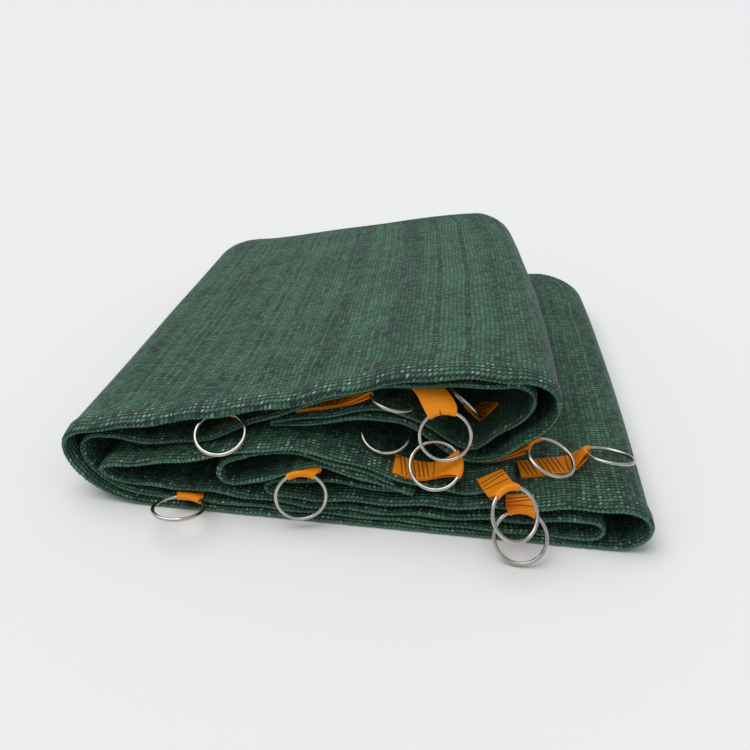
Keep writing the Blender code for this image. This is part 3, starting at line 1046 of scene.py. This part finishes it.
@dataclass
class RingTab:
    """A short piece of webbing, laid round a ring's wire and sewn down to the cloth."""

    cloth: FoldedNet
    tape: Material
    thread: Material
    ring_radius: float = 16.5
    wire: float = 2.5
    width: float = 18.0
    thickness: float = 0.65
    seat: float = 1.7
    leaf_gap: float = 0.5
    wire_gap: float = 0.2
    strands: int = 10
    tail_steps: int = 9
    span_steps: int = 9
    turn_steps: int = 16
    thread_width: float = 0.7
    stitch_spacing: float = 3.1
    stitch_margin: float = 1.2
    slant: float = 3.6
    seam_points: int = 9

    def span(
        self, start: np.ndarray, end: np.ndarray, leaving: np.ndarray, arriving: np.ndarray
    ) -> list[np.ndarray]:
        """The points of a strand between the cloth and the wire, without its two ends."""
        handle = np.linalg.norm(end - start) / 3
        first, second = start + leaving * handle, end - arriving * handle
        steps = range(1, self.span_steps)
        return [bend(start, first, second, end, step / self.span_steps) for step in steps]

    def strand(self, place: TabPlace, ring: RingPlace, share: float) -> tuple[list[np.ndarray], int]:
        """Works out one strand of the tape's width, out from the cloth, round the wire and back.

        The share says where across the tape, from -0.5 to 0.5. The number that comes with the
        points says how many of the last ones lie on the outer side.
        """
        centre, level, upward, _ = ring_frame(ring)
        loop = self.wire / 2 + self.wire_gap + self.thickness / 2
        heading = math.radians(place.heading)
        out = np.array([math.cos(heading), math.sin(heading)])
        across = np.array([-out[1], out[0]])
        near = self.seat + self.thickness / 2
        far = near + self.thickness + self.leaf_gap
        middle = math.radians(ring.grip)
        grip_way = -math.sin(middle) * level + math.cos(middle) * upward
        side = 1.0 if np.dot(grip_way[:2], across) > 0 else -1.0
        angle = middle + side * share * self.width / self.ring_radius
        hold = centre + self.ring_radius * (math.cos(angle) * level + math.sin(angle) * upward)
        wire_way = -math.sin(angle) * level + math.cos(angle) * upward
        tail = []
        for step in range(self.tail_steps):
            back = place.run * (1 - step / (self.tail_steps - 1))
            spot = np.array([place.x, place.y]) + across * share * self.width - out * back
            tail.append(self.cloth.height_at(place.layer, spot[0], spot[1]))
        lower = [point + up * place.face * near for point, up in tail]
        upper = [point + up * place.face * far for point, up in tail]
        forward = hold - (lower[-1] + upper[-1]) / 2
        forward = unit(forward - wire_way * np.dot(forward, wire_way))
        outward = np.cross(wire_way, forward)
        if np.dot(outward, tail[-1][1]) * place.face < 0:
            outward = -outward
        turned = []
        for step in range(self.turn_steps + 1):
            turn = math.pi * (step / self.turn_steps - 0.5)
            turned.append(hold + loop * (math.cos(turn) * forward + math.sin(turn) * outward))
        leave = unit(lower[-1] - lower[-2])
        back_leg = list(reversed(self.span(upper[-1], turned[-1], leave, forward))) + list(reversed(upper))
        row = lower + self.span(lower[-1], turned[0], leave, forward) + turned + back_leg
        return row, len(back_leg)

    def sewing(self, grid: np.ndarray, outer: int, place: TabPlace) -> list[list[np.ndarray]]:
        """Lays the slanting rows of thread and one cross seam on the outer side of a tab.

        The grid holds the tab's points, strand by strand, and outer says how many of each
        strand's last points lie on that side.
        """
        normal = grid_normals(grid)
        if normal[:, -outer:, 2].mean() * place.face < 0:
            normal = -normal
        skin = grid + normal * (self.thickness / 2 + self.thread_width * 0.15)
        leg, surface = grid[:, -outer:], skin[:, -outer:]
        run = distances(np.linalg.norm(np.diff(leg.mean(axis=0), axis=0), axis=1))

        def spot(across: float, along: float) -> np.ndarray:
            """A point on the outer side, from shares across it and millimetres along it."""
            column = float(np.interp(along, run, np.arange(len(run))))
            line = across * (surface.shape[0] - 1)
            row, col = min(int(line), surface.shape[0] - 2), min(int(column), surface.shape[1] - 2)
            right, down = column - col, line - row
            first = surface[row, col] * (1 - right) + surface[row, col + 1] * right
            second = surface[row + 1, col] * (1 - right) + surface[row + 1, col + 1] * right
            return first * (1 - down) + second * down

        margin = self.stitch_margin / self.width
        start = max(0.0, run[-1] - place.sewn)
        reach = run[-1] - self.stitch_margin
        shares = np.linspace(margin, 1 - margin, self.seam_points)
        lines = []
        at = start
        while at + self.slant < reach:
            lines.append([spot(share, at + self.slant * share) for share in shares])
            at += self.stitch_spacing
        cross = max(1.0, start - self.stitch_spacing)
        lines.append([spot(share, cross) for share in shares])
        if place.ridge > 0:
            row = round(place.ridge * (grid.shape[0] - 1))
            lines.append(list(skin[row, -(outer + self.turn_steps) :]))
        return lines

    def build(self, place: TabPlace, ring: RingPlace) -> list[Object]:
        """Builds a tab and its sewing."""
        shares = np.linspace(-0.5, 0.5, self.strands)
        rows = [self.strand(place, ring, float(share)) for share in shares]
        grid = np.array([row for row, _ in rows])
        along = distances(np.linalg.norm(np.diff(grid, axis=1), axis=2).mean(axis=0)) * MM
        flat_u = np.repeat(along[None, :], self.strands, axis=0)
        flat_v = np.repeat((shares * self.width * MM)[:, None], grid.shape[1], axis=1)
        half = np.full(grid.shape[:2], self.thickness / 2)
        mesh = thick_sheet("webbing_" + place.name, grid, half, "tape", flat_u, flat_v)
        tape = smooth_object("webbing_" + place.name, mesh, self.tape, 50.0)
        finish_piece(tape, "orange_webbing", place.name)
        width = self.thread_width * MM
        sewer = StitchRow(
            "tab_seam_" + place.name, self.thread, width * 1.5, width * 2.1, width, unevenness=0.05
        )
        seam = sewer.build("sewing_" + place.name, self.sewing(grid, rows[0][1], place))
        finish_piece(seam, "orange_webbing")
        return [tape, seam]


@dataclass
class Studio:
    """A pale table, soft light from above and a camera where the photograph was taken."""

    camera_at: tuple[float, float, float] = (0.0744, -0.5435, 0.3353)
    camera_turn: tuple[float, float, float] = (59.76, 0.0, 8.2)
    lens: float = 35.0
    table: float = 120.0
    table_drop: float = 0.0003
    sky_low: float = 0.44
    sky_high: float = 0.62
    low_colour: tuple[float, float, float, float] = (0.86, 0.93, 1.0, 1.0)
    sun: float = 1.55
    sun_width: float = 60.0
    sun_from: tuple[float, float, float] = (-0.35, 0.12, 1.0)

    def build(self, surface: Material) -> None:
        """Builds the table, the light, the sky and the camera."""
        bpy.ops.mesh.primitive_plane_add(size=self.table)
        floor = bpy.context.object
        floor.name = "table"
        floor.data.transform(Matrix.Translation((0, 0, -self.table_drop)))
        floor.data.materials.append(surface)
        world = bpy.data.worlds.new("soft_sky")
        world.use_nodes = True
        background = world.node_tree.nodes["Background"]
        way = add_node(world.node_tree, "ShaderNodeTexCoord")
        upward = parts_of(world.node_tree, way.outputs["Generated"])[2]
        rising = upward.stretch(0.0, 1.0, self.sky_low, self.sky_high)
        tint = upward.choose(self.low_colour, (1.0, 1.0, 1.0, 1.0))
        world.node_tree.links.new(tint.socket, background.inputs["Color"])
        world.node_tree.links.new(rising.socket, background.inputs["Strength"])
        bpy.context.scene.world = world
        data = bpy.data.lights.new("soft_top_light", "SUN")
        data.energy = self.sun
        data.angle = math.radians(self.sun_width)
        lamp = bpy.data.objects.new("soft_top_light", data)
        lamp.rotation_euler = Vector(self.sun_from).to_track_quat("Z", "Y").to_euler()
        bpy.context.scene.collection.objects.link(lamp)
        lens = bpy.data.cameras.new("camera")
        lens.lens = self.lens
        lens.sensor_width = 36.0
        camera = bpy.data.objects.new("camera", lens)
        camera.location = self.camera_at
        camera.rotation_euler = [math.radians(angle) for angle in self.camera_turn]
        bpy.context.scene.collection.objects.link(camera)
        bpy.context.scene.camera = camera
        bpy.context.scene.view_settings.view_transform = "Standard"


def main() -> None:
    """Builds every piece; the cloth logs its flat size."""
    logging.basicConfig(level=logging.INFO, format="%(name)s: %(message)s")
    net = KnittedNet().build()
    wire = PolishedWire().build()
    tape = WovenTape().build()
    thread = Yarn().build()
    cloth = FoldedNet(net)
    ring_maker = WireRing(wire)
    tab_maker = RingTab(cloth, tape, thread)
    surfaces: list[np.ndarray] = []
    for ring, tab in zip(RINGS, TABS):
        pieces = [ring_maker.build(ring), *tab_maker.build(tab, ring)]
        surfaces.extend(table_points(piece) for piece in pieces[:2])
    sheet, edge, size = cloth.build(np.concatenate(surfaces))
    yarn = Yarn("green_edge_yarn", "#46705b", 1.0).build()
    loops = StitchRow(
        "edge_loops", yarn, 2.9 * MM, 3.0 * MM, 1.7 * MM, sides=7, rings=5, unevenness=0.15
    )
    hem = loops.build("hem_loops", [edge])
    finish_piece(hem, "green_net")
    Studio().build(PaleTable().build())


if __name__ == "__main__":
    main()
